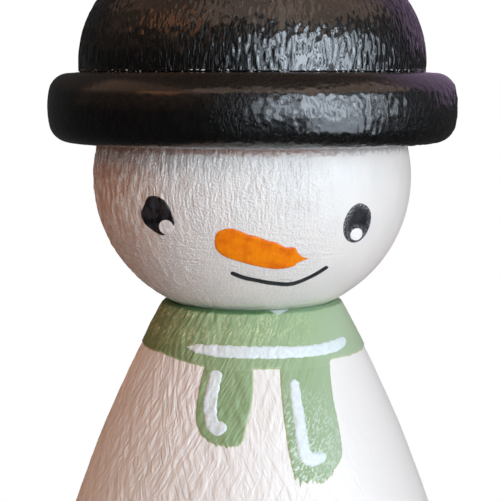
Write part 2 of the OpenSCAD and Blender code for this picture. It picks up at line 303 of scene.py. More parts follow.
def creaseColour(tree, parts, fromNeck, colour, share):
    look = creaseLook
    # painted shade: the crease's dark green, paler towards the right, where the light falls
    paler = addNode(tree, "ShaderNodeMapRange", (parts["X"], *look["palerAt"])).outputs[0]
    line = addNode(tree, "ShaderNodeMix", {0: paler, 6: look["colour"], 7: look["paler"]},
                   data_type="RGBA").outputs[2]
    colour = addNode(tree, "ShaderNodeMix", {0: share, 6: colour, 7: line}, data_type="RGBA").outputs[2]
    away = addNode(tree, "ShaderNodeMath", (parts["X"], look["dropX"]), operation="SUBTRACT").outputs[0]
    away = addNode(tree, "ShaderNodeMath", (away,), operation="ABSOLUTE").outputs[0]
    above = addNode(tree, "ShaderNodeMath", (away, -look["dropSlope"], fromNeck),
                    operation="MULTIPLY_ADD").outputs[0]
    drop = addNode(tree, "ShaderNodeMapRange", (above, *look["dropAt"])).outputs[0]
    front = addNode(tree, "ShaderNodeMath", (parts["Y"], 0.0), operation="LESS_THAN").outputs[0]
    drop = addNode(tree, "ShaderNodeMath", (drop, front), operation="MULTIPLY").outputs[0]
    return addNode(tree, "ShaderNodeMix", {0: drop, 6: colour, 7: look["drop"]}, data_type="RGBA").outputs[2]


# Cream acrylic brushed thinly on the body: eggshell, with fine brush lines that cross each other.
# Where it lies low between the raised threads it is painted a little darker, as shade.
cream = {"colour": "#EAE9E8", "warm": "#E8E7E3", "washes": (2.5, 6.0, 0.6), "hollow": "#DBD9D5",
         "hollowShade": (0.5, 0.1, 0.0, 0.4), "radius": 13.0, "lean": 0.034,
         "oneWay": (0.3, 3.0, 1.0, 0.45, 0.6, 1.0), "otherWay": (0.34, 3.4, 0.9, 0.48, 0.6, 1.0),
         "patches": (1.8, 2.6, 1.0, 0.42, 0.58), "upright": (0.24, 1.2), "uprightShare": 0.7,
         "creaseFrom": -0.2, "footBare": 0.3, "roughness": 0.42, "deep": 0.035}


def makeCream():
    material, tree, place = newMaterial("cream acrylic on beech")
    parts = addNode(tree, "ShaderNodeSeparateXYZ", (place,)).outputs
    brushed = addNode(tree, "ShaderNodeAttribute", attribute_name="brushed").outputs["Fac"]
    ridge = addNode(tree, "ShaderNodeAttribute", attribute_name="ridge").outputs["Fac"]
    lean, radius = cream["lean"], cream["radius"]
    oneWay = pattern(tree, roundPlace(tree, place, radius, lean), *cream["oneWay"])
    otherWay = pattern(tree, roundPlace(tree, place, radius, -lean), *cream["otherWay"])
    patches = pattern(tree, place, *cream["patches"])
    crossed = addNode(tree, "ShaderNodeMix", {0: patches, 2: oneWay, 3: otherWay}).outputs[0]
    upright = pattern(tree, roundPlace(tree, place, radius), *cream["upright"])
    height = addNode(tree, "ShaderNodeMath", (upright, cream["uprightShare"], crossed),
                     operation="MULTIPLY_ADD").outputs[0]
    wash = pattern(tree, place, *cream["washes"])
    wash = addNode(tree, "ShaderNodeMath", (wash, brushed), operation="MULTIPLY").outputs[0]
    colour = addNode(tree, "ShaderNodeMix", {0: wash, 6: cream["colour"], 7: cream["warm"]},
                     data_type="RGBA").outputs[2]
    # painted shade where the paint lies low between the raised threads
    hollow = addNode(tree, "ShaderNodeMapRange", (ridge, *cream["hollowShade"])).outputs[0]
    hollow = addNode(tree, "ShaderNodeMath", (hollow, brushed), operation="MULTIPLY").outputs[0]
    colour = addNode(tree, "ShaderNodeMix", {0: hollow, 6: colour, 7: cream["hollow"]},
                     data_type="RGBA").outputs[2]
    # the crease under the head is painted green, partly pooled scarf paint and partly painted shade, and the
    # foot was left bare
    fromNeck = addNode(tree, "ShaderNodeMath", (parts["Z"], neckTop), operation="SUBTRACT").outputs[0]
    crease = addNode(tree, "ShaderNodeMath", (fromNeck, cream["creaseFrom"]),
                     operation="GREATER_THAN").outputs[0]
    colour = creaseColour(tree, parts, fromNeck, colour, crease)
    bare = addNode(tree, "ShaderNodeMath", (parts["Z"], cream["footBare"]), operation="LESS_THAN").outputs[0]
    colour = addNode(tree, "ShaderNodeMix", {0: bare, 6: colour, 7: beechColour(tree, place)},
                     data_type="RGBA").outputs[2]
    finishMaterial(tree, colour, cream["roughness"], height, cream["deep"], brushed)
    return material


# White acrylic on the head: thicker, dragged up and down, with the wood's grain showing as raised threads.
# Where it lies low between the raised threads it is painted darker, as shade, and wood brown towards the
# left, the side away from the light, as painted shade. Under the brim it ends in a soft mottled band of
# painted shadow, grey on the right and pink brown on the left, where it also stands for discoloured wood, and
# the wood above was left bare. Heights are from the head's widest line, but for the painted green reflection
# of the scarf, which is from the neck's top.
white = {"colour": "#E5E4E2", "cool": "#DDDFE0", "washes": (2.5, 5.0, 0.6), "hollow": "#CCC6C2",
         "hollowShade": (0.45, 0.1, 0.0, 0.4), "radius": 14.0, "upper": (-5.5, -2.0), "threads": (0.26, 1.2),
         "strokes": (2.4, 0.2), "stipple": (0.2, 0.2), "stippleShare": 0.9, "wood": "#BC8B6A",
         "leftShadeAt": (-5.5, -13.5, 0.0, 0.7), "leftShadeSeen": (0.85, 0.2, 0.22, 1.0), "green": "#B9CFB0",
         "scarfReflectionAt": (0.0, 0.9, 0.6, 0.0), "ragged": (0.5, 0.4, 0.4, 0.3, 0.7, 4.0), "stainAndShadow": "#94634E",
         "shade": "#74757C", "stainAndShadowAt": (2.3, 2.9, 0.0, 0.75), "faint": (0.1, 1.0, 0.7, 1.0),
         "bareAt": (3.25, 3.65), "roughness": 0.37, "deep": 0.045}


def makeWhite():
    material, tree, place = newMaterial("white acrylic on beech")
    parts = addNode(tree, "ShaderNodeSeparateXYZ", (place,)).outputs
    brushed = addNode(tree, "ShaderNodeAttribute", attribute_name="brushed").outputs["Fac"]
    ridge = addNode(tree, "ShaderNodeAttribute", attribute_name="ridge").outputs["Fac"]
    fromMid = addNode(tree, "ShaderNodeMath", (parts["Z"], headMid), operation="SUBTRACT").outputs[0]
    upper = addNode(tree, "ShaderNodeMapRange", (fromMid, *white["upper"]),
                    interpolation_type="SMOOTHSTEP").outputs[0]
    threads = pattern(tree, roundPlace(tree, place, white["radius"]), *white["threads"])
    strokes = pattern(tree, place, *white["strokes"])
    drawn = addNode(tree, "ShaderNodeMix", {0: upper, 2: strokes, 3: threads}).outputs[0]
    stipple = pattern(tree, place, *white["stipple"])
    height = addNode(tree, "ShaderNodeMath", (stipple, white["stippleShare"], drawn),
                     operation="MULTIPLY_ADD").outputs[0]
    wash = pattern(tree, place, *white["washes"])
    colour = addNode(tree, "ShaderNodeMix", {0: wash, 6: white["colour"], 7: white["cool"]},
                     data_type="RGBA").outputs[2]
    # painted shade where the paint lies low between the raised threads
    hollow = addNode(tree, "ShaderNodeMapRange", (ridge, *white["hollowShade"])).outputs[0]
    for share in (brushed, upper):
        hollow = addNode(tree, "ShaderNodeMath", (hollow, share), operation="MULTIPLY").outputs[0]
    colour = addNode(tree, "ShaderNodeMix", {0: hollow, 6: colour, 7: white["hollow"]},
                     data_type="RGBA").outputs[2]
    # painted shade: wood brown towards the left, the side away from the light, most where the paint lies low
    wood = addNode(tree, "ShaderNodeMapRange", (parts["X"], *white["leftShadeAt"]),
                   interpolation_type="SMOOTHSTEP").outputs[0]
    seen = addNode(tree, "ShaderNodeMapRange", (ridge, *white["leftShadeSeen"])).outputs[0]
    wood = addNode(tree, "ShaderNodeMath", (wood, seen), operation="MULTIPLY").outputs[0]
    colour = addNode(tree, "ShaderNodeMix", {0: wood, 6: colour, 7: white["wood"]},
                     data_type="RGBA").outputs[2]
    # painted reflection: a pale green from the scarf, just above the neck
    fromNeck = addNode(tree, "ShaderNodeMath", (parts["Z"], neckHigh), operation="SUBTRACT").outputs[0]
    scarfReflection = addNode(tree, "ShaderNodeMapRange", (fromNeck, *white["scarfReflectionAt"]),
                      interpolation_type="SMOOTHSTEP").outputs[0]
    colour = addNode(tree, "ShaderNodeMix", {0: scarfReflection, 6: colour, 7: white["green"]},
                     data_type="RGBA").outputs[2]
    # up the head comes first the painted shadow under the brim, pink brown on the left where it also stands
    # for discoloured wood, and then bare wood
    ragged = pattern(tree, place, *white["ragged"])
    edge = addNode(tree, "ShaderNodeMath", (fromMid, ragged), operation="SUBTRACT").outputs[0]
    stainAndShadowShare = addNode(tree, "ShaderNodeMapRange", (edge, *white["stainAndShadowAt"]),
                      interpolation_type="SMOOTHSTEP").outputs[0]
    faint = addNode(tree, "ShaderNodeMapRange", (brushed, *white["faint"])).outputs[0]
    stainAndShadowShare = addNode(tree, "ShaderNodeMath", (stainAndShadowShare, faint), operation="MULTIPLY").outputs[0]
    stainAndShadow = addNode(tree, "ShaderNodeMix", {0: brushed, 6: white["shade"], 7: white["stainAndShadow"]},
                    data_type="RGBA").outputs[2]
    colour = addNode(tree, "ShaderNodeMix", {0: stainAndShadowShare, 6: colour, 7: stainAndShadow}, data_type="RGBA").outputs[2]
    bare = addNode(tree, "ShaderNodeMapRange", (edge, *white["bareAt"]),
                   interpolation_type="SMOOTHSTEP").outputs[0]
    colour = addNode(tree, "ShaderNodeMix", {0: bare, 6: colour, 7: beechColour(tree, place)},
                     data_type="RGBA").outputs[2]
    finishMaterial(tree, colour, white["roughness"], height, white["deep"], brushed)
    return material


# Black satin acrylic on the hat under a thin clear varnish: nearly black, a soft sheen from the paint and a
# crisp broken highlight from the varnish on every raised thread. What faces up is painted brown, as a
# reflection of the warm ceiling, and pale specks are caught where the crown stands on the brim.
black = {"colour": "#040404", "worn": "#0B0A09", "wear": (0.5, 1.2), "ceilingReflection": "#4A3C32",
         "ceilingReflectionAt": (0.35, 1.0, 0.0, 0.2), "speck": "#D6D8DA", "specks": (0.24, 0.2, 0.8, 0.66, 0.7, 0.0),
         "creaseReach": 16.25, "specked": 0.22, "dots": (0.2, 0.3), "markWide": 0.21, "sheen": (1.2, 2.0),
         "roughness": (0.25, 0.38), "gloss": 0.16, "deep": 0.048, "coat": 1.0}


def makeBlack(name, long, across, coatRoughness):
    # long is how far the small raised marks run along the grain, across how much of round ones is added
    material, tree, place = newMaterial(name)
    brushed = addNode(tree, "ShaderNodeAttribute", attribute_name="brushed").outputs["Fac"]
    marks = pattern(tree, place, black["markWide"], long)
    height = addNode(tree, "ShaderNodeMath", (pattern(tree, place, *black["dots"]), across, marks),
                     operation="MULTIPLY_ADD").outputs[0]
    wear = pattern(tree, place, *black["wear"])
    colour = addNode(tree, "ShaderNodeMix", {0: wear, 6: black["colour"], 7: black["worn"]},
                     data_type="RGBA").outputs[2]
    # painted reflection: brown on what faces up, for the warm ceiling
    normal = addNode(tree, "ShaderNodeNewGeometry").outputs["Normal"]
    facing = addNode(tree, "ShaderNodeSeparateXYZ", (normal,)).outputs["Z"]
    ceilingReflected = addNode(tree, "ShaderNodeMapRange", (facing, *black["ceilingReflectionAt"]),
                    interpolation_type="SMOOTHSTEP").outputs[0]
    colour = addNode(tree, "ShaderNodeMix", {0: ceilingReflected, 6: colour, 7: black["ceilingReflection"]},
                     data_type="RGBA").outputs[2]
    up = addNode(tree, "ShaderNodeSeparateXYZ", (place,)).outputs["Z"]
    near = addNode(tree, "ShaderNodeMath", (up, crownLow, black["specked"]), operation="COMPARE").outputs[0]
    flat = addNode(tree, "ShaderNodeVectorMath", (place, (1, 1, 0)), operation="MULTIPLY").outputs[0]
    reach = addNode(tree, "ShaderNodeVectorMath", (flat,), operation="LENGTH").outputs["Value"]
    beside = addNode(tree, "ShaderNodeMath", (reach, black["creaseReach"], black["specked"]),
                     operation="COMPARE").outputs[0]
    specks = pattern(tree, place, *black["specks"])
    for share in (near, beside):
        specks = addNode(tree, "ShaderNodeMath", (specks, share), operation="MULTIPLY").outputs[0]
    colour = addNode(tree, "ShaderNodeMix", {0: specks, 6: colour, 7: black["speck"]},
                     data_type="RGBA").outputs[2]
    sheen = pattern(tree, place, *black["sheen"])
    rough = addNode(tree, "ShaderNodeMapRange", (sheen, 0.0, 1.0, *black["roughness"])).outputs[0]
    finishMaterial(tree, colour, rough, height, black["deep"], brushed, Specular_IOR_Level=black["gloss"],
                   Coat_Weight=black["coat"], Coat_Roughness=coatRoughness)
    return material


beechWood = makeBeech()
creamPaint = makeCream()
whitePaint = makeWhite()
crownPaint = makeBlack("black satin acrylic on beech", long=0.9, across=0.12, coatRoughness=0.1)
brimPaint = makeBlack("black satin acrylic, scuffed", long=0.3, across=0.6, coatRoughness=0.18)


# In the dictionaries of the pieces, a step is how far apart points are along a line and a ring along an arc
headLook = {"wide": 30, "high": 27.2, "flankShare": 0.95, "boreWide": 6.2, "pegBoreWide": 6.16,
            "boreDeep": 8.5, "around": 552, "ring": 0.3, "boreStep": 1.0, "boreReach": 3.3, "sunk": 0.08,
            "radius": 14.0, "threads": 0.064, "threadSize": (0.42, 1.2), "fine": 0.02,
            "fineSize": (0.26, 0.7), "stipple": 0.026, "stippleSize": 0.34, "stippleMost": 1.5,
            "wave": 0.015, "waveSize": 3.5, "lowShare": 0.15, "lowAt": (-5.5, -1.5), "leftMore": 0.8,
            "leftAt": (15, 45)}
headArcs = ovalArcs(headLook["wide"] / 2, headLook["high"] / 2, headLook["flankShare"])


def capRise(reach, grow=0.0):
    # height of the head's end arc above its centre line at a distance from the axis
    return sqrt((headArcs["cap"] + grow) ** 2 - reach ** 2) - headArcs["drop"]


def headRelief(place, normal):
    look, radius = headLook, headLook["radius"]
    if hypot(place.x, place.y) < look["boreReach"]:
        return 0.0, 0.0
    upper = look["lowShare"] + (1 - look["lowShare"]) * softStep(place.z - headMid, *look["lowAt"])
    strong = brushShare(place) * (1 + look["leftMore"] * softStep(-azimuthOf(place), *look["leftAt"]))
    depth = look["threads"] * upper * grain(place, *look["threadSize"], radius=radius)
    depth += look["fine"] * grain(place, *look["fineSize"], seed=7.0, radius=radius)
    depth += look["stipple"] * (look["stippleMost"] - upper) * noise.noise(place / look["stippleSize"])
    wave = look["wave"] * noise.noise(place / look["waveSize"]) - look["sunk"]
    return depth * strong + wave, wave


def makeHead():
    look, arcs = headLook, headArcs
    lowBore, topBore = look["boreWide"] / 2, look["pegBoreWide"] / 2
    lowEnd = headMid - look["high"] / 2 + look["boreDeep"]
    topEnd = headMid + look["high"] / 2 - look["boreDeep"]
    begin = degrees(asin(lowBore / arcs["cap"]))
    end = degrees(asin(topBore / arcs["cap"]))
    return turnPiece((0, lowEnd),
                     [(lowBore, lowEnd, look["boreStep"]),
                      (lowBore, headMid - capRise(lowBore), look["boreStep"]),
                      (0, headMid + arcs["drop"], arcs["capTurn"] - begin, look["ring"]),
                      (arcs["out"], headMid, 180 - 2 * arcs["capTurn"], look["ring"]),
                      (0, headMid - arcs["drop"], arcs["capTurn"] - end, look["ring"]),
                      (topBore, topEnd, look["boreStep"]),
                      (0, topEnd, look["boreStep"])], look["around"], headRelief)


# The two ways of the brush are share, how patchy, width, length, lean and seed
bodyLook = {"neckWide": 16.6, "neckRound": 0.3, "side": 122.5, "footWide": 45.8, "footRound": 1.2,
            "seatLand": 0.42, "boreWide": 6.2, "boreLow": 35.394, "around": 520, "ring": 0.24, "lowRing": 0.6,
            "finerFor": 22, "neckRing": 0.08, "footRing": 0.2, "boreStep": 1.0, "seatRing": 0.6,
            "neckStep": 0.1, "underStep": 1.2, "plainReach": 8.3, "underside": -0.9, "sunk": 0.07,
            "radius": 13.0, "ridges": 0.068, "patchSize": 2.2,
            "ways": ((1.0, 0.9, 0.5, 3.2, 0.034, 0.0), (0.8, -1.1, 0.5, 3.6, -0.034, 5.0)),
            "fine": 0.03, "fineSize": (0.35, 2.0), "wave": 0.025, "waveSize": 4}


def sideCentre():
    look = bodyLook
    neck, foot = look["neckWide"] / 2, look["footWide"] / 2
    chord = Vector((neck - foot, neckHigh))
    out = Vector((chord.y, -chord.x)).normalized()
    middle = Vector(((neck + foot) / 2, neckHigh / 2))
    return middle - out * sqrt(look["side"] ** 2 - (chord.length / 2) ** 2)


sideMid = sideCentre()


def bodyRelief(place, normal):
    look, radius = bodyLook, bodyLook["radius"]
    if hypot(place.x, place.y) < look["plainReach"] or normal.z < look["underside"]:
        return 0.0, 0.0
    # in some patches the brush went one way, in some the other
    patch = noise.noise(place / look["patchSize"])
    depth = look["ridges"] * sum((share + patchy * patch) * grain(place, wide, long, lean, seed, radius)
                                 for share, patchy, wide, long, lean, seed in look["ways"])
    depth += look["fine"] * grain(place, *look["fineSize"], seed=9.0, radius=radius)
    wave = look["wave"] * noise.noise(place / look["waveSize"]) - look["sunk"]
    return depth * brushShare(place) + wave, wave


def makeBody():
    look, arcs = bodyLook, headArcs
    bore, seat = look["boreWide"] / 2, look["neckWide"] / 2 - look["seatLand"]
    seatTurn = degrees(asin(seat / arcs["cap"]) - asin(bore / arcs["cap"]))
    foot = look["footRound"]
    footX = sideMid.x + sqrt((look["side"] - foot) ** 2 - (foot - sideMid.y) ** 2)
    tilt = degrees(atan2(foot - sideMid.y, footX - sideMid.x))
    # paint rounds the neck's edge a little, so that the head shows right down to it
    edge, edgeZ = look["neckRound"], neckTop - look["neckRound"]
    edgeX = sideMid.x + sqrt((look["side"] - edge) ** 2 - (edgeZ - sideMid.y) ** 2)
    neckTilt = degrees(atan2(edgeZ - sideMid.y, edgeX - sideMid.x))
    # finer rings down to just below what the photo's side shows
    finerTurn = degrees(look["finerFor"] / look["side"])
    return turnPiece((0, look["boreLow"]),
                     [(bore, look["boreLow"], look["boreStep"]),
                      (bore, headMid - capRise(bore), look["boreStep"]),
                      (0, headMid + arcs["drop"], seatTurn, look["seatRing"]),
                      (edgeX, neckTop, look["neckStep"]),
                      (edgeX, edgeZ, neckTilt - 90, look["neckRing"]),
                      (sideMid.x, sideMid.y, -finerTurn, look["ring"]),
                      (sideMid.x, sideMid.y, -(neckTilt - tilt - finerTurn), look["lowRing"]),
                      (footX, foot, -90 - tilt, look["footRing"]),
                      (0, 0, look["underStep"])], look["around"], bodyRelief)


brimLook = {"wide": 38.4, "thick": 6.5, "bulge": 0.65, "round": 2.0, "gap": 0.3, "around": 704, "ring": 0.17,
            "hollowRing": 0.5, "topStep": 0.4, "underStep": 0.3, "hollowReach": 15.2, "sunk": 0.07,
            "dashes": 0.03, "dashSize": (0.36, 0.9), "dashAt": (-0.02, 0.26), "cloud": 0.044,
            "cloudSize": 0.42, "fine": 0.014, "fineSize": 0.32, "grainLeft": 0.15, "grainAt": (16, 34),
            "scuffLeft": 0.35, "scuffAt": (-16, 2), "backAt": (120, 160), "topLess": 0.8, "topAt": (0.4, 0.8),
            "sanded": 0.8, "sandedAt": (0.1, 0.5), "level": 0.9, "levelAt": (16.2, 17.0)}


def rightShare(place, left, rightAt):
    # all of it from the front round to the right, and so much of it round the left
    azimuth = azimuthOf(place)
    return left + (1 - left) * softStep(azimuth, *rightAt) * (1 - softStep(azimuth, *brimLook["backAt"]))


def scuffShare(place):
    return rightShare(place, brimLook["scuffLeft"], brimLook["scuffAt"])


def brimRelief(place, normal):
    look, reach = brimLook, hypot(place.x, place.y)
    if reach < look["hollowReach"]:
        return 0.0, 0.0
    # the rim is scuffed level but for raised grain towards the right, and its top is smooth
    grained = rightShare(place, look["grainLeft"], look["grainAt"])
    depth = look["dashes"] * grained * softStep(grain(place, *look["dashSize"], seed=3.0), *look["dashAt"])
    scuffs = look["cloud"] * noise.noise(place / look["cloudSize"])
    scuffs += look["fine"] * noise.noise(place / look["fineSize"])
    depth += scuffShare(place) * scuffs
    side = 1 - look["topLess"] * softStep(normal.z, *look["topAt"])
    # its upper edge was sanded rounder in front, as if by a radius larger by so many millimetres
    front = softStep(-place.y / reach, *look["sandedAt"])
    sanded = look["sanded"] * front * max(0.0, hypot(normal.x, normal.y) + normal.z - 1)
    # the crown stands on level wood
    clear = softStep(reach, *look["levelAt"]) if normal.z > look["level"] else 1.0
    level = -(look["sunk"] + sanded) * clear
    return depth * side * clear + level, level


def makeBrim():
    look, arcs = brimLook, headArcs
    top, low = brimLow + look["thick"], brimLow
    flank, cap = arcs["flank"] + look["gap"], arcs["cap"] + look["gap"]
    lowTurn = degrees(asin((low - headMid) / flank))
    hollowLow = arcs["out"] + flank * cos(radians(lowTurn))
    topTurn = degrees(acos((top - headMid + arcs["drop"]) / cap))
    rim = ((look["thick"] / 2) ** 2 + look["bulge"] ** 2) / (2 * look["bulge"])
    rimX, middle = look["wide"] / 2 - rim, brimLow + look["thick"] / 2
    rise = look["thick"] / 2 - look["round"]
    edgeX = rimX + sqrt((rim - look["round"]) ** 2 - rise ** 2)
    tilt = degrees(asin(rise / (rim - look["round"])))
    return turnPiece((hollowLow, low),
                     [(arcs["out"], headMid, 90 - arcs["capTurn"] - lowTurn, look["hollowRing"]),
                      (0, headMid - arcs["drop"], arcs["capTurn"] - topTurn, look["hollowRing"]),
                      (edgeX, top, look["topStep"]),
                      (edgeX, top - look["round"], tilt - 90, look["ring"]),
                      (rimX, middle, -2 * tilt, look["ring"]),
                      (edgeX, low + look["round"], tilt - 90, look["ring"]),
                      (hollowLow, low, look["underStep"])], look["around"], brimRelief, share=scuffShare)


crownLook = {"wide": 32.5, "high": 13.0, "skirt": 0.9, "round": 0.2, "flankShare": 0.84, "boreWide": 6.16,
             "boreTop": 76.394, "gap": 0.3, "around": 800, "ring": 0.235, "hollowRing": 1.2, "edgeRing": 0.1,
             "boreStep": 1.0, "underStep": 0.8, "skirtStep": 0.17, "underside": -0.2, "boreReach": 3.2,
             "boreBelow": 77, "sunk": 0.08, "dashes": 0.062, "dashSize": (0.27, 1.0), "dashAt": (-0.02, 0.28),
             "uneven": 0.1, "unevenSize": 2.2, "fine": 0.016, "fineSize": (0.23, 0.9), "wave": 0.015,
             "waveSize": 3}


def crownRelief(place, normal):
    look, reach = crownLook, hypot(place.x, place.y)
    if normal.z < look["underside"] or reach < look["boreReach"] and place.z < look["boreBelow"]:
        return 0.0, 0.0
    # short raised dashes with level tops, spread unevenly
    uneven = look["uneven"] * noise.noise(place / look["unevenSize"])
    depth = look["dashes"] * softStep(grain(place, *look["dashSize"], seed=1.0) + uneven, *look["dashAt"])
    depth += look["fine"] * grain(place, *look["fineSize"], seed=4.0)
    wave = look["wave"] * noise.noise(place / look["waveSize"]) - look["sunk"]
    return depth + wave, wave + look["dashes"] / 2


def makeCrown():
    look, arcs = crownLook, headArcs
    bore, half = look["boreWide"] / 2, look["wide"] / 2
    cap = arcs["cap"] + look["gap"]
    hollow = sqrt(cap ** 2 - (crownLow - headMid + arcs["drop"]) ** 2)
    hollowTurn = degrees(asin(hollow / cap) - asin(bore / cap))
    dome = ovalArcs(half, look["high"] - look["skirt"], look["flankShare"])
    skirtZ, edgeX = crownLow + look["skirt"], half - look["round"]
    return turnPiece((0, look["boreTop"]),
                     [(bore, look["boreTop"], look["boreStep"]),
                      (bore, headMid + capRise(bore, look["gap"]), look["boreStep"]),
                      (0, headMid - arcs["drop"], -hollowTurn, look["hollowRing"]),
                      (edgeX, crownLow, look["underStep"]),
                      (edgeX, crownLow + look["round"], 90, look["edgeRing"]),
                      (half, skirtZ, look["skirtStep"]),
                      (dome["out"], skirtZ, 90 - dome["capTurn"], look["ring"]),
                      (0, skirtZ - dome["drop"], dome["capTurn"], look["ring"])], look["around"], crownRelief,
                     share=lambda place: 1.0)


dowelLook = {"wide": 6.0, "bevel": 0.6, "around": 72, "step": 0.3, "endStep": 0.6, "threads": 0.015,
             "threadSize": (0.3, 3.0), "span": 0.03}


def dowelRelief(place, normal):
    threads = dowelLook["threads"]
    return threads * (grain(place, *dowelLook["threadSize"]) - 1), -threads


def makeDowel(node):
    look = dowelLook
    low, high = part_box(node)[0].z / mm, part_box(node)[1].z / mm
    half, bevel = look["wide"] / 2, look["bevel"]
    return turnPiece((0, low), [(half - bevel, low, look["endStep"]), (half, low + bevel, look["step"]),
                                (half, high - bevel, look["step"]), (half - bevel, high, look["step"]),
                                (0, high, look["endStep"])], look["around"], dowelRelief, span=look["span"])


headMesh = makeHead()
headTree = BVHTree.FromBMesh(headMesh)
bodyMesh = makeBody()
bodyTree = BVHTree.FromBMesh(bodyMesh)
addObject("head", headMesh, "doll", ["head"], whitePaint)
addObject("body", bodyMesh, "doll", ["body"], creamPaint)
addObject("hat_brim", makeBrim(), "hat", ["hat_brim"], brimPaint)
addObject("hat_crown", makeCrown(), "hat", ["hat_crown"], crownPaint)
addObject("neck_dowel", makeDowel("neck_dowel"), "doll", ["neck_dowel"], beechWood)
addObject("hat_peg", makeDowel("hat_peg"), "peg", ["hat_peg"], beechWood)
print("turned pieces made")

tiny = 1e-12                                        # stands in for nothing where it would divide


# Outlines are in millimetres seen from the front: x from the middle line, z from the widest line of the head
def smoothPath(points, closed, steps=6):
    # a smooth line through the points; a third value, the half width, runs along with them
    p = np.array(points, float)
    n = len(p)
    found = []
    for i in range(n if closed else n - 1):
        a, b, c, d = (p[(i + k) % n] if closed else p[min(max(i + k, 0), n - 1)] for k in (-1, 0, 1, 2))
        for t in np.arange(steps) / steps:
            found.append((2 * b + (c - a) * t + (2 * a - 5 * b + 4 * c - d) * t ** 2
                          + (3 * b - a - 3 * c + d) * t ** 3) / 2)
    if not closed:
        found.append(p[-1])
    return np.array(found)


def toSegments(x, z, begin, end):
    # distance of each point to each piece of a line, and how far along that piece it lies
    run = end - begin
    px, pz = x[:, None] - begin[None, :, 0], z[:, None] - begin[None, :, 1]
    t = np.clip((px * run[:, 0] + pz * run[:, 1]) / np.maximum(tiny, (run ** 2).sum(1)), 0, 1)
    return np.hypot(px - t * run[:, 0], pz - t * run[:, 1]), t


def insideLoop(points):
    # how far each place is inside a closed outline, below zero outside it
    path = smoothPath(points, True)
    begin, end = path, np.roll(path, -1, 0)

    def field(x, z, azimuth):
        away = toSegments(x, z, begin, end)[0].min(1)
        above = (begin[None, :, 1] > z[:, None]) != (end[None, :, 1] > z[:, None])
        slope = (end[:, 0] - begin[:, 0]) / np.where(end[:, 1] == begin[:, 1], tiny, end[:, 1] - begin[:, 1])
        crossing = begin[None, :, 0] + (z[:, None] - begin[None, :, 1]) * slope
        odd = (above & (x[:, None] < crossing)).sum(1) % 2
        return np.where(odd == 1, away, -away)
    return field


def insideLine(points):
    # the same for a brush stroke: points are x, z and half width
    path = smoothPath(points, False)

    def field(x, z, azimuth):
        away, t = toSegments(x, z, path[:-1, :2], path[1:, :2])
        half = path[None, :-1, 2] * (1 - t) + path[None, 1:, 2] * t
        return (half - away).max(1)
    return field


def insideDisc(centreX, centreZ, radius):
    return lambda x, z, azimuth: radius - np.hypot(x - centreX, z - centreZ)


def headOut(reach, up):
    # direction square to the head's surface, in its profile
    side = Vector((reach - headArcs["out"], up))
    if abs(degrees(atan2(side.y, side.x))) > 90 - headArcs["capTurn"]:
        side = Vector((reach, up + copysign(headArcs["drop"], up)))
    return side.normalized()


def bodyOut(reach, up):
    return Vector((reach - sideMid.x, up + headMid - sideMid.y)).normalized()


farOut = 40                                         # where the rays below start, outside all pieces


def castIn(trees, azimuth, up):
    # the first surface met on the way in to the axis
    a = radians(azimuth)
    out = Vector((sin(a), -cos(a), 0))
    start = out * (farOut * mm) + Vector((0, 0, (up + headMid) * mm))
    hits = [tree.ray_cast(start, -out)[0] for tree in trees]
    hits = [h for h in hits if h is not None]
    return max(hits, key=lambda h: h.xy.length) if hits else None


# What the paint films share: each goes on a little way outside its outline, sunk in the wood, and its back
# lies under the surface. The end of a film that starts under another dips by dip.
filmLook = {"fewest": 4, "sinkOver": 0.12, "outside": 0.2, "dip": 0.04, "dipOver": 0.35, "allRound": 359,
            "seam": 0.001, "under": 0.3}


def layPaint(trees, outward, field, window, look):
    # a film that follows the surface under it: window is azimuth from, to and height from, to
    low, high, bottom, top = window
    reach = castIn(trees, (low + high) / 2, (bottom + top) / 2).xy.length / mm
    across = max(filmLook["fewest"], round(radians(high - low) * reach / look["step"]))
    up = max(filmLook["fewest"], round((top - bottom) / look["step"]))
    mesh = bmesh.new()
    bmesh.ops.create_grid(mesh, x_segments=across, y_segments=up, size=1)
    inset = mesh.verts.layers.float.new("inset")
    brushed = mesh.verts.layers.float.new("brushed")
    places, outs, azimuths = [], [], []
    for v in mesh.verts:
        azimuth = low + (high - low) * (v.co.x + 1) / 2
        height = bottom + (top - bottom) * (v.co.y + 1) / 2
        hit = castIn(trees, azimuth, height)
        flat = outward(hit.xy.length / mm, height)
        a = radians(azimuth)
        places.append(hit)
        azimuths.append(azimuth)
        outs.append(Vector((sin(a) * flat.x, -cos(a) * flat.x, flat.y)))
    x = np.array([p.x for p in places]) / mm
    z = np.array([p.z for p in places]) / mm - headMid
    deep = field(x, z, np.array(azimuths))
    inner = np.clip(deep / look["edge"], 0, 1)
    lift = look["thick"] * np.sqrt(1 - (1 - inner) ** 2)
    lift -= look["sink"] * np.clip(-deep / filmLook["sinkOver"], 0, 1)
    if "dipFrom" in look:
        lift -= filmLook["dip"] * np.clip((z - look["dipFrom"]) / filmLook["dipOver"], 0, 1)
    for v, place, out, rise, d in zip(mesh.verts, places, outs, lift, deep):
        v.co = place + out * (rise * mm)
        v[inset] = d
        v[brushed] = brushShare(place)
    far = [f for f in mesh.faces if max(v[inset] for v in f.verts) < -filmLook["outside"]]
    bmesh.ops.delete(mesh, geom=far, context="FACES")
    if high - low > filmLook["allRound"]:
        bmesh.ops.remove_doubles(mesh, verts=mesh.verts, dist=filmLook["seam"] * mm)
    for f in mesh.faces:
        f.smooth = True
    return mesh


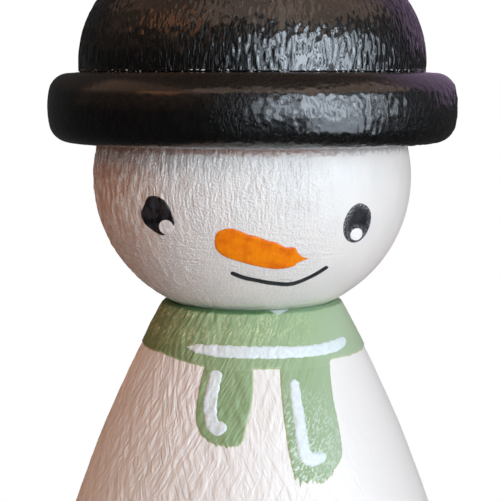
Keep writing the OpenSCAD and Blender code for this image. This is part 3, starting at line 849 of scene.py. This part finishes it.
def closePaint(mesh, outward):
    # gives the film a back inside the wood, so that it is a closed piece
    mesh.normal_update()
    grown = bmesh.ops.extrude_face_region(mesh, geom=mesh.faces[:], use_keep_orig=True)["geom"]
    for v in grown:
        if isinstance(v, bmesh.types.BMVert):
            reach = v.co.xy.length
            flat = outward(reach / mm, v.co.z / mm - headMid)
            out = Vector((v.co.x / reach * flat.x, v.co.y / reach * flat.x, flat.y))
            v.co -= out * (filmLook["under"] * mm)
    bmesh.ops.recalc_face_normals(mesh, faces=mesh.faces)


def addFilm(name, mesh, outward, material):
    closePaint(mesh, outward)
    addObject(name, mesh, "doll", [name], material)


# Sage green acrylic of the scarf: matt, put on with a stiff brush that left slanting streaks and flecks.
# thin is the yellow that shines through at the edges; each part of the scarf has its own paler flecks, which
# fade in between two heights from the widest line of the head.
green = {"dark": "#7C9B6C", "streaks": (0.34, 1.8, 0.65), "thin": "#C3CC9C", "thinAt": (0.0, 0.16, 0.6, 0.0),
         "shaded": "#5A662C", "shadedAt": (-4.5, -8.5, 0.0, 0.6), "right": "#C4D6C6",
         "rightAt": (5.0, 8.0, 0.0, 0.28), "flecks": (0.17, 0.32), "fleckSoft": 0.08,
         "patches": (0.9, 1.2, 1.0), "patchSoft": 0.1, "ragged": (1.6, 1.6, 0.16),
         "creaseAt": (-0.16, 0.04, 0.0, 0.9), "lean": -0.05, "radius": 11.0, "marks": (0.22, 1.0),
         "roughness": 0.5, "deep": 0.03}
bandFlecks = {"base": "#95AF87", "colour": "#C4D09C", "share": 0.7, "at": (-15.6, -13.8), "many": 0.5,
              "patchy": 0.48}
shortFlecks = {"base": "#8AA57B", "colour": "#A9BF98", "share": 0.35, "at": (-23.0, -17.0), "many": 0.56,
               "patchy": 0.5}
longFlecks = {"base": "#8FAA81", "colour": "#D6E4DC", "share": 0.8, "at": (-17.2, -22.0), "many": 0.5,
              "patchy": 0.36}


def makeGreen(name, flecks):
    material, tree, place = newMaterial(name)
    slanting = roundPlace(tree, place, green["radius"], green["lean"])
    parts = addNode(tree, "ShaderNodeSeparateXYZ", (place,)).outputs
    brushed = addNode(tree, "ShaderNodeAttribute", attribute_name="brushed").outputs["Fac"]
    inset = addNode(tree, "ShaderNodeAttribute", attribute_name="inset").outputs["Fac"]
    streaks = pattern(tree, slanting, *green["streaks"])
    streaks = addNode(tree, "ShaderNodeMath", (streaks, brushed), operation="MULTIPLY").outputs[0]
    colour = addNode(tree, "ShaderNodeMix", {0: streaks, 6: flecks["base"], 7: green["dark"]},
                     data_type="RGBA").outputs[2]
    # painted shade darker olive towards the left, away from the light, and painted light paler towards the
    # right
    for shade in ("shaded", "right"):
        share = addNode(tree, "ShaderNodeMapRange", (parts["X"], *green[shade + "At"])).outputs[0]
        colour = addNode(tree, "ShaderNodeMix", {0: share, 6: colour, 7: green[shade]},
                         data_type="RGBA").outputs[2]
    many, patchy, soft = flecks["many"], flecks["patchy"], green["patchSoft"]
    spots = pattern(tree, slanting, *green["flecks"], flecks["share"], many, many + green["fleckSoft"])
    patches = pattern(tree, place, *green["patches"], patchy - soft, patchy + soft)
    fromMid = addNode(tree, "ShaderNodeMath", (parts["Z"], headMid), operation="SUBTRACT").outputs[0]
    where = addNode(tree, "ShaderNodeMapRange", (fromMid, *flecks["at"])).outputs[0]
    for share in (patches, where, brushed):
        spots = addNode(tree, "ShaderNodeMath", (spots, share), operation="MULTIPLY").outputs[0]
    colour = addNode(tree, "ShaderNodeMix", {0: spots, 6: colour, 7: flecks["colour"]},
                     data_type="RGBA").outputs[2]
    thin = addNode(tree, "ShaderNodeMapRange", (inset, *green["thinAt"])).outputs[0]
    colour = addNode(tree, "ShaderNodeMix", {0: thin, 6: colour, 7: green["thin"]},
                     data_type="RGBA").outputs[2]
    # painted shade: the crease at the neck is darkened green, partly pooled paint
    fromNeck = addNode(tree, "ShaderNodeMath", (parts["Z"], neckTop), operation="SUBTRACT").outputs[0]
    ragged = pattern(tree, place, *green["ragged"])
    crease = addNode(tree, "ShaderNodeMath", (fromNeck, ragged), operation="ADD").outputs[0]
    crease = addNode(tree, "ShaderNodeMapRange", (crease, *green["creaseAt"]),
                     interpolation_type="SMOOTHSTEP").outputs[0]
    colour = creaseColour(tree, parts, fromNeck, colour, crease)
    finishMaterial(tree, colour, green["roughness"], pattern(tree, slanting, *green["marks"]), green["deep"],
                   brushed)
    return material


# The other paints are small: each has a second colour that mottles it, in spots wide millimetres across, and
# some have flecks of a third along their edge, where the paint under them shows
paints = {
    "bluish white acrylic": {"colour": "#DEE9ED", "second": "#C8D9DF", "wide": 0.4, "roughness": 0.45},
    # the grey mottles in this black stand for painted highlights
    "black acrylic": {"colour": "#0D0C0F", "second": "#454248", "wide": 0.6, "share": 0.45,
                      "roughness": 0.36},
    "black acrylic, rubbed": {"colour": "#0E0E12", "second": "#2C2A2F", "wide": 0.5, "roughness": 0.4,
                              "edge": "#A6A8AF", "edgeWide": 0.5},
    "white acrylic dot": {"colour": "#F6F6F7", "second": "#E6E6E8", "wide": 0.3, "roughness": 0.4},
    "white acrylic, flush": {"colour": "#E6E6E7", "second": "#D9DBDE", "wide": 0.3, "roughness": 0.42},
    "orange acrylic": {"colour": "#F08700", "second": "#DC6402", "wide": 1.3, "share": 0.8, "roughness": 0.45,
                       "edge": "#C85E10", "edgeWide": 0.14, "gloss": 0.15},
    "dark slate pen ink": {"colour": "#15181C", "second": "#2A2F36", "wide": 0.5, "roughness": 0.45},
}
usualPaint = {"share": 0.5, "gloss": 0.5, "flecks": (0.12, 0.12, 1.0, 0.5, 0.6), "bumps": (0.2, 0.3),
              "deep": 0.015}


def makePaint(name):
    look = {**usualPaint, **paints[name]}
    material, tree, place = newMaterial(name)
    mottled = pattern(tree, place, look["wide"], look["wide"], look["share"])
    colour = addNode(tree, "ShaderNodeMix", {0: mottled, 6: look["colour"], 7: look["second"]},
                     data_type="RGBA").outputs[2]
    if "edge" in look:
        inset = addNode(tree, "ShaderNodeAttribute", attribute_name="inset").outputs["Fac"]
        edge = addNode(tree, "ShaderNodeMapRange", (inset, 0.0, look["edgeWide"], 1.0, 0.0)).outputs[0]
        flecks = pattern(tree, place, *look["flecks"])
        edge = addNode(tree, "ShaderNodeMath", (edge, flecks), operation="MULTIPLY").outputs[0]
        colour = addNode(tree, "ShaderNodeMix", {0: edge, 6: colour, 7: look["edge"]},
                         data_type="RGBA").outputs[2]
    finishMaterial(tree, colour, look["roughness"], pattern(tree, place, *look["bumps"]), look["deep"],
                   Specular_IOR_Level=look["gloss"])
    return material


eyeLook = {"step": 0.06, "thick": 0.06, "edge": 0.12, "sink": 0.05}
flushLook = {"step": 0.06, "thick": 0.012, "edge": 0.3, "sink": 0.02}
noseLook = {"step": 0.07, "thick": 0.10, "edge": 0.2, "sink": 0.05}
smileLook = {"step": 0.05, "thick": 0.05, "edge": 0.14, "sink": 0.05}
scarfLook = {"step": 0.11, "thick": 0.11, "edge": 0.25, "sink": 0.06}
strokeLook = {"step": 0.07, "thick": 0.09, "edge": 0.2, "sink": 0.05}

leftEyeLoop = [(-8.50, -0.88), (-9.12, -1.05), (-9.45, -1.75), (-9.78, -2.60), (-9.40, -3.45), (-8.75, -3.95),
               (-8.20, -4.27), (-7.66, -4.30), (-7.25, -3.80), (-6.78, -3.28), (-7.00, -2.40), (-7.30, -1.70),
               (-7.75, -1.15)]
rightEyeLoop = [(9.40, -1.60), (9.98, -1.85), (10.38, -2.45), (10.44, -3.30), (10.20, -4.15), (9.75, -4.80),
                (9.20, -5.12), (8.62, -5.05), (8.12, -4.60), (7.90, -3.80), (8.05, -2.85), (8.50, -2.05),
                (8.95, -1.70)]
noseLoop = [(-3.13, -4.07), (-2.59, -3.67), (-1.89, -3.53), (-1.13, -3.73), (-0.30, -4.08), (0.39, -4.24),
            (1.32, -4.61), (2.01, -4.78), (2.86, -5.24), (3.63, -5.30), (3.95, -5.81), (4.36, -6.20),
            (4.85, -6.34), (4.44, -6.48), (3.89, -6.73), (3.59, -7.01), (2.43, -7.23), (1.60, -7.18),
            (0.25, -6.90), (-0.91, -6.57), (-2.22, -6.13), (-2.84, -5.73), (-3.22, -5.13)]
smileLine = [(-1.73, -7.65, 0.18), (-0.76, -8.06, 0.19), (0.25, -8.30, 0.18), (1.19, -8.52, 0.19),
             (2.10, -8.68, 0.19), (2.90, -8.78, 0.20), (3.60, -8.73, 0.19), (4.27, -8.52, 0.18),
             (5.05, -8.17, 0.17), (5.68, -7.84, 0.18), (6.50, -7.32, 0.17)]
# azimuth and height of the scarf's lower edge
bandLow = [(-52, -15.75), (-45, -15.92), (-35, -16.12), (-25, -16.34), (-12, -16.40), (0, -16.42),
           (12, -16.44), (30, -16.18), (45, -16.05), (60, -16.1)]
shortTailLoop = [(-4.20, -15.6), (-4.27, -16.40), (-4.58, -17.39), (-4.79, -18.56), (-4.95, -19.40),
                 (-5.00, -20.70), (-4.76, -21.51), (-4.20, -22.25), (-3.16, -22.69), (-1.93, -22.75),
                 (-1.15, -22.55), (-0.74, -22.05), (-0.48, -20.86), (-0.12, -19.56), (0.05, -18.26),
                 (0.07, -16.4), (0.05, -15.6)]
longTailLoop = [(2.42, -15.6), (2.44, -16.51), (2.54, -18.42), (2.70, -20.11), (2.99, -22.14), (3.27, -23.83),
                (3.65, -25.2), (4.2, -25.75), (5.1, -25.85), (6.32, -25.9), (7.0, -25.3), (7.70, -24.45),
                (7.95, -23.62), (7.70, -21.57), (7.22, -19.16), (6.97, -16.5), (6.95, -15.6)]
shortStrokeLine = [(-3.24, -17.05, 0.5), (-3.52, -18.04, 0.56), (-3.72, -19.16, 0.56), (-3.72, -20.19, 0.55),
                   (-3.48, -21.0, 0.55), (-3.05, -21.32, 0.52), (-2.75, -21.22, 0.48)]
longStrokeLine = [(3.72, -17.75, 0.4), (3.92, -19.18, 0.46), (4.15, -20.53, 0.46), (4.30, -21.88, 0.5),
                  (4.52, -23.1, 0.52), (4.92, -23.85, 0.56), (5.55, -23.95, 0.5), (6.1, -23.85, 0.42)]
bandStrokeLine = [(-5.9, -14.84, 0.07), (-5.5, -14.87, 0.13), (-5.15, -14.90, 0.25), (-4.8, -14.92, 0.36),
                  (-3.16, -14.97, 0.46), (-1.3, -15.02, 0.49), (1.0, -15.03, 0.49), (3.0, -15.06, 0.48),
                  (5.3, -15.12, 0.46), (7.3, -15.02, 0.50), (8.15, -14.85, 0.45)]
leftGlint = insideDisc(-7.50, -3.60, 0.66)
rightGlint = insideDisc(9.13, -4.38, 0.56)


def faceWindow(points, margin=0.5):
    # azimuths and heights that take in an outline on the head
    p = np.array(points, float)
    bottom, top = p[:, 1].min(), p[:, 1].max()
    reach = headArcs["out"] + sqrt(headArcs["flank"] ** 2 - bottom ** 2)
    azimuths = np.degrees(np.arcsin(p[:, 0] / reach))
    spare = 2 * degrees(margin / reach)
    return azimuths.min() - spare, azimuths.max() + spare, bottom - margin, top + margin


def faceFilm(name, field, outline, look, paintName):
    mesh = layPaint([headTree], headOut, field, faceWindow(outline), look)
    addFilm(name, mesh, headOut, makePaint(paintName))


leftEyeField, rightEyeField = insideLoop(leftEyeLoop), insideLoop(rightEyeLoop)
faceFilm("left_eye", lambda x, z, a: np.minimum(leftEyeField(x, z, a), -leftGlint(x, z, a)), leftEyeLoop,
         eyeLook, "black acrylic")
faceFilm("right_eye", lambda x, z, a: np.minimum(rightEyeField(x, z, a), -rightGlint(x, z, a)), rightEyeLoop,
         eyeLook, "black acrylic, rubbed")
faceFilm("left_eye_glint", leftGlint, [(-8.2, -4.3), (-6.8, -2.9)], flushLook,
         "white acrylic, flush")
faceFilm("right_eye_glint", rightGlint, [(8.4, -5.1), (9.9, -3.7)], eyeLook,
         "white acrylic dot")
faceFilm("nose", insideLoop(noseLoop), noseLoop, noseLook, "orange acrylic")
faceFilm("smile", insideLine(smileLine), smileLine, smileLook, "dark slate pen ink")
print("face painted")

bandPath = np.array(bandLow, float)
seam = -16.2                                        # height where the scarf's ends begin
scarfTop = neckTop - headMid - 0.02                 # just short of the head
bandSpan = (seam - 0.55, scarfTop - 0.03)           # heights that the band's grid covers
scarfEdge = {"wobble": 0.06, "wobbles": 9, "front": 75, "outside": -9.0, "rough": 0.03, "roughSize": 0.4,
             "roughSeed": 1.0}
strokeEdge = {"rough": 0.1, "roughSize": 0.38, "roughSeed": 4.0}

# The brush's hairs carry the paint past an end, in streaks wide across and long down, below a height
hairLook = {"down": 6, "finer": 2.3, "finerShare": 0.5, "finerSeed": 3}
shortHairs = {"wide": 0.3, "long": 0.22, "seed": 2.0, "below": -21.3, "over": 0.8}
longHairs = {"wide": 0.24, "long": 0.5, "seed": 8.0, "below": -24.2, "over": 0.9}


def hairs(x, z, look):
    wide, seed, down = look["wide"], look["seed"], hairLook["down"]
    carried = [noise.noise(Vector((a / wide, b / down, seed))) + hairLook["finerShare"]
               * noise.noise(Vector((a / wide * hairLook["finer"], b / down, seed + hairLook["finerSeed"])))
               for a, b in zip(x, z)]
    return look["long"] * np.array(carried) * np.clip((look["below"] - z) / look["over"], 0, 1)


def wander(x, z, look):
    # how far an edge runs in and out, in millimetres
    size = look["roughSize"]
    return look["rough"] * np.array([noise.noise(Vector((a / size, b / size, look["roughSeed"])))
                                     for a, b in zip(x, z)])


scarfEnds = ((insideLoop(shortTailLoop), shortHairs), (insideLoop(longTailLoop), longHairs))


def scarfField(x, z, azimuth):
    # one field for the band and both ends, so that their films join without a step
    edge = np.interp(azimuth, bandPath[:, 0], bandPath[:, 1])
    many = scarfEdge["wobbles"]
    wobble = np.array([noise.noise(Vector((sin(a) * many, cos(a) * many, 0.0)))
                       for a in np.radians(azimuth)])
    inside = z - edge - scarfEdge["wobble"] * wobble
    front = np.abs(azimuth) < scarfEdge["front"]
    for endField, look in scarfEnds:
        end = np.full(len(x), scarfEdge["outside"])
        end[front] = endField(x[front], z[front] + hairs(x[front], z[front], look), azimuth[front])
        inside = np.maximum(inside, end)
    return np.minimum(inside + wander(x, z, scarfEdge), scarfTop - z)


# Each end of the scarf spans left to right and hangs from the seam, where it dips under the band, to bottom
endLook = {**scarfLook, "step": 0.08, "thick": 0.115, "dipFrom": seam - 0.45}
endReach = 12.6
scarfParts = {
    "scarf_band": {"paint": "sage green acrylic", "flecks": bandFlecks},
    "scarf_tail_short": {"paint": "sage green acrylic, short end", "flecks": shortFlecks,
                         "left": -5.6, "right": 0.6, "bottom": -23.6},
    "scarf_tail_long": {"paint": "sage green acrylic, long end", "flecks": longFlecks,
                        "left": 1.8, "right": 8.6, "bottom": -27.2},
}


def scarfMesh(name):
    part = scarfParts[name]
    if name == "scarf_band":                        # it goes right round
        return layPaint([bodyTree], bodyOut, scarfField, (-180, 180, *bandSpan), scarfLook)
    left, right = (degrees(asin(part[side] / endReach)) for side in ("left", "right"))
    return layPaint([bodyTree], bodyOut, scarfField, (left, right, part["bottom"], seam), endLook)


scarfMeshes = {name: scarfMesh(name) for name in scarfParts}
scarfTrees = [BVHTree.FromBMesh(mesh) for mesh in scarfMeshes.values()]
for scarfName, mesh in scarfMeshes.items():
    part = scarfParts[scarfName]
    addFilm(scarfName, mesh, bodyOut, makeGreen(part["paint"], part["flecks"]))

# Windows of the strokes reach past their outlines by so many millimetres, beside and above
strokeReach = 11.0
strokeBeside = 1.2
strokeAbove = 0.9


def strokeFilm(name, line):
    p = np.array(line)
    left = degrees(asin((p[:, 0].min() - strokeBeside) / strokeReach))
    right = degrees(asin((p[:, 0].max() + strokeBeside) / strokeReach))
    smooth = insideLine(line)
    mesh = layPaint(scarfTrees + [bodyTree], bodyOut,
                    lambda x, z, azimuth: smooth(x, z, azimuth) + wander(x, z, strokeEdge),
                    (left, right, p[:, 1].min() - strokeAbove, p[:, 1].max() + strokeAbove), strokeLook)
    addFilm(name, mesh, bodyOut, palePaint)


palePaint = makePaint("bluish white acrylic")
strokeFilm("scarf_band_stroke", bandStrokeLine)
strokeFilm("short_tail_stroke", shortStrokeLine)
strokeFilm("long_tail_stroke", longStrokeLine)
print("scarf painted")


for spare in ("Cube", "Light", "Camera"):           # what a new file starts with
    if spare in bpy.data.objects:
        bpy.data.objects.remove(bpy.data.objects[spare])

# Gloss shows the white background only dimly, because a black gloss hat is grey wherever it mirrors white
dimInGloss = 0.04
plainWhite = "#FFFFFF"
floorLook = {"radius": 0.9, "around": 96, "colour": "#E8E8EA", "fadeAt": (60, 90)}
roomLook = {"colour": "#7A5A44", "strength": 0.09}


def toBackground(tree, kind, plain, share=None):
    # the plain shader, and in its place white for the camera and through glass, and dim white in gloss
    rays = addNode(tree, "ShaderNodeLightPath").outputs
    seen = addNode(tree, "ShaderNodeMath", (rays["Is Camera Ray"], rays["Is Transmission Ray"]),
                   operation="MAXIMUM").outputs[0]
    if share is not None:
        seen = addNode(tree, "ShaderNodeMath", (share, seen), operation="MULTIPLY").outputs[0]
    bright = addNode(tree, kind, {"Color": plainWhite, "Strength": 1.0}).outputs[0]
    dim = addNode(tree, kind, {"Color": plainWhite, "Strength": dimInGloss}).outputs[0]
    mixed = addNode(tree, "ShaderNodeMixShader", (seen, plain, bright)).outputs[0]
    return addNode(tree, "ShaderNodeMixShader", (rays["Is Glossy Ray"], mixed, dim)).outputs[0]


def makeFloor():
    mesh = bmesh.new()
    bmesh.ops.create_circle(mesh, cap_ends=True, segments=floorLook["around"], radius=floorLook["radius"])
    # matt and pale, and away from the doll it fades into the white background
    material, tree, place = newMaterial("pale floor")
    away = addNode(tree, "ShaderNodeVectorMath", (place,), operation="LENGTH").outputs["Value"]
    far = addNode(tree, "ShaderNodeMapRange", (away, *floorLook["fadeAt"]),
                  interpolation_type="SMOOTHSTEP").outputs[0]
    matt = addNode(tree, "ShaderNodeBsdfDiffuse", {"Color": floorLook["colour"]}).outputs[0]
    mixed = toBackground(tree, "ShaderNodeEmission", matt, far)
    addNode(tree, "ShaderNodeOutputMaterial", {"Surface": mixed})
    floor = meshObject("floor", mesh, material)
    floor.visible_glossy = False                    # gloss sees the sill's light below the floor's edge


def makeWorld():
    world = bpy.data.worlds.new("room")
    bpy.context.scene.world = world
    world.use_nodes = True
    tree = world.node_tree
    tree.nodes.clear()
    dark = addNode(tree, "ShaderNodeBackground", {"Color": roomLook["colour"],
                                                  "Strength": roomLook["strength"]}).outputs[0]
    addNode(tree, "ShaderNodeOutputWorld", {"Surface": toBackground(tree, "ShaderNodeBackground", dark)})


makeFloor()
makeWorld()

# Soft lamps in the room: azimuth from the front, positive to the viewer's right, and elevation, then how wide
# and how high each looks from the doll, all in degrees, then its colour and its radiance, where 1 is white.
# The matt ones aren't mirrored by the hat, and the gloss ones are what the hat mirrors.
lampAway = 0.5
mattLamps = {
    "window": (39, 4.5, 26, 26, "#F5F9FF", 9.5),
    "window above": (14, 27, 26, 24, "#D4F5FF", 2.8),
    "ceiling front": (0, 49, 50, 24, "#C4F2FF", 0.85),
    "room right": (75, 12, 46, 30, "#FFF0EA", 0.8),
    "room far right": (120, 16, 60, 40, "#FFDAD2", 0.5),
    "wood on the left": (-65, 45, 90, 44, "#FF983E", 1.04),
    "table at the front": (10, 2, 50, 12, "#D4F0FF", 2.4),
    "room behind": (180, 25, 100, 60, "#F2EEEA", 0.85),
}
glossLamps = {
    "frame": (5, 9, 6, 32, "#DCE9F6", 4.5),
    "pane 1": (16, 9, 6, 32, "#DCE9F6", 11),
    "pane 2": (30, 9, 9, 34, "#DCE9F6", 15.5),
    "pane 3": (44, 9, 9, 34, "#DCE9F6", 15.5),
    "pane 4": (59, 9, 9, 34, "#DCE9F6", 11),
    "pane 5": (76, 9, 8, 32, "#DCE9F6", 5.5),
    "window sill": (50, -18, 34, 20, "#DCE9F6", 5.5),
    "left wall": (-75, 50, 80, 26, "#FFD0AE", 0.38),
    "left wall, lower": (-72, 30, 80, 14, "#FFD0AE", 0.16),
    "left wall, lowest": (-72, 17, 80, 12, "#FFD0AE", 0.07),
    "warm shelf": (-58, 36, 22, 16, "#FFAA74", 1.35),
    "ceiling": (3, 56, 54, 34, "#FFE2D0", 1.05),
    "right wall": (66, 50, 70, 30, "#FFDCC4", 1.05),
    "lilac wall": (150, 25, 50, 42, "#E4C0F4", 0.32),
}


def addLamp(name, azimuth, elevation, wide, high, colour, bright):
    # a panel half a metre away, turned to the doll's head
    a, e = radians(azimuth), radians(elevation)
    out = Vector((sin(a) * cos(e), -cos(a) * cos(e), sin(e)))
    data = bpy.data.lights.new(name, "AREA")
    data.shape = "RECTANGLE"
    data.size, data.size_y = (2 * lampAway * tan(radians(span / 2)) for span in (wide, high))
    data.color = hexColour(colour)[:3]
    data.energy = bright * pi * data.size * data.size_y
    lamp = intoScene(name, data)
    lamp.location = out * lampAway + Vector((0, 0, headMid * mm))
    lamp.rotation_euler = out.to_track_quat("Z", "Y").to_euler()
    return lamp


for lampName, lampLook in mattLamps.items():
    addLamp(lampName, *lampLook).visible_glossy = False
for lampName, lampLook in glossLamps.items():
    addLamp(lampName, *lampLook).visible_diffuse = False

cameraLook = {"x": -0.218, "away": 145.0, "aboveHead": 9.48, "pitch": 6.5, "lens": 110.30,
              "sensor": 36, "near": 0.01}
cameraData = bpy.data.cameras.new("camera")
cameraData.sensor_fit = "VERTICAL"
cameraData.sensor_height = cameraLook["sensor"]
cameraData.lens = cameraLook["lens"]
cameraData.clip_start = cameraLook["near"]
camera = intoScene("camera", cameraData)
camera.location = (cameraLook["x"] * mm, -cameraLook["away"] * mm, (headMid + cameraLook["aboveHead"]) * mm)
camera.rotation_euler = (radians(90 - cameraLook["pitch"]), 0, 0)
bpy.context.scene.camera = camera
bpy.context.scene.view_settings.view_transform = "Standard"
print("stage set")
